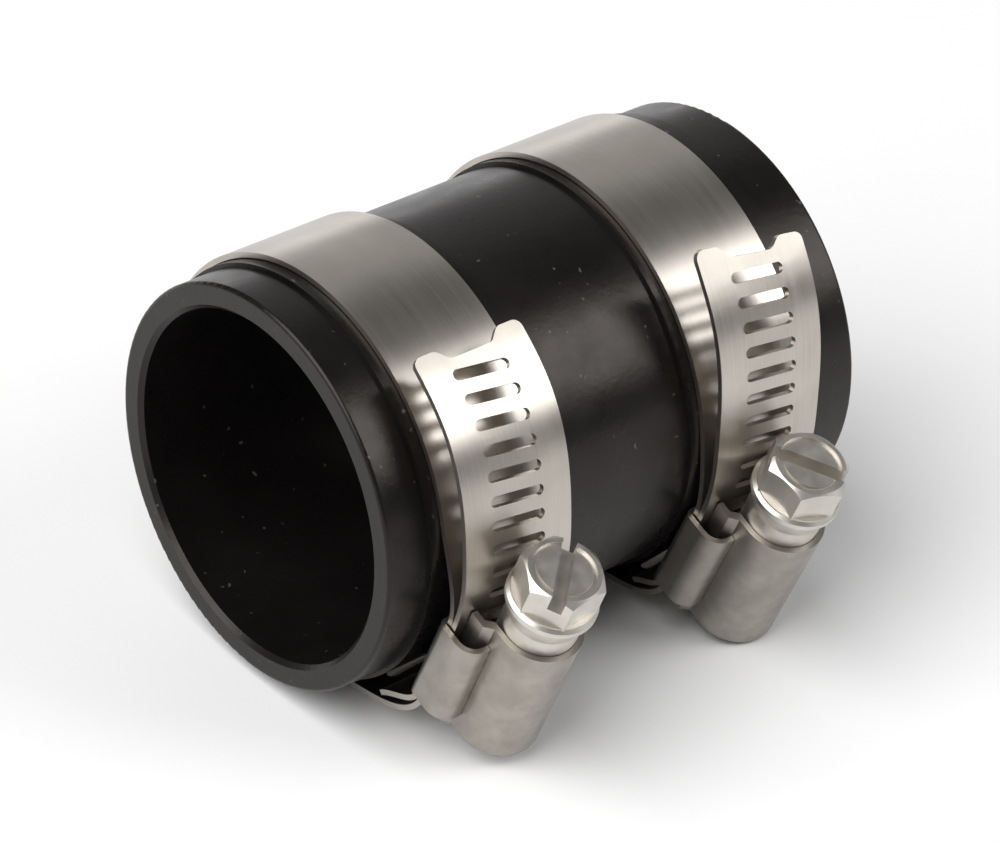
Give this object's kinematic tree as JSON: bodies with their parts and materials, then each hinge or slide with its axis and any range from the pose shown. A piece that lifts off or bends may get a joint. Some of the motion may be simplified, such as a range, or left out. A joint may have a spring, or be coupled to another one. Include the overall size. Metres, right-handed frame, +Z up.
{
  "type": "flexible pipe coupling",
  "caption": "Straight rubber sleeve that joins two pipe ends, clamped at each end by a worm-drive band clamp with a slotted hexagon screw.",
  "frame": {"origin": "middle of the bore, on the pipe's axis halfway along the sleeve", "axes": "+X along the pipe's axis, +Z up with the coupling lying on its bands and the lower end of the right barrel, -Y towards the screw heads"},
  "size_m": [0.062, 0.0595, 0.0469],
  "materials": {
    "rubber": "smooth moulded black rubber, satin",
    "strip_steel": "rolled stainless strip with a fine lengthwise grain",
    "housing_steel": "pressed stainless sheet, satin",
    "plated_screw": "plated steel, semi-bright"
  },
  "bodies": {
    "sleeve": {"sleeve": "rubber"},
    "left_clamp": {"left_band": "strip_steel", "left_saddle": "housing_steel", "left_barrel": "housing_steel"},
    "left_screw": {"left_screw": "plated_screw"},
    "right_clamp": {"right_band": "strip_steel", "right_saddle": "housing_steel", "right_barrel": "housing_steel"},
    "right_screw": {"right_screw": "plated_screw"}
  },
  "joints": [
    {"name": "left_clamp_swivel", "type": "hinge", "parent": "sleeve", "child": "left_clamp", "pos_m": [0, 0, 0], "axis": [1, 0, 0], "continuous": true},
    {"name": "right_clamp_swivel", "type": "hinge", "parent": "sleeve", "child": "right_clamp", "pos_m": [0, 0, 0], "axis": [1, 0, 0], "continuous": true},
    {"name": "left_screw_turn", "type": "hinge", "parent": "left_clamp", "child": "left_screw", "pos_m": [-0.01775, -0.03274, 0.00421], "axis": [0, -0.3371, 0.9415], "continuous": true},
    {"name": "right_screw_turn", "type": "hinge", "parent": "right_clamp", "child": "right_screw", "pos_m": [0.01615, -0.03155, 0.00267], "axis": [0, -0.3616, 0.9323], "continuous": true}
  ]
}
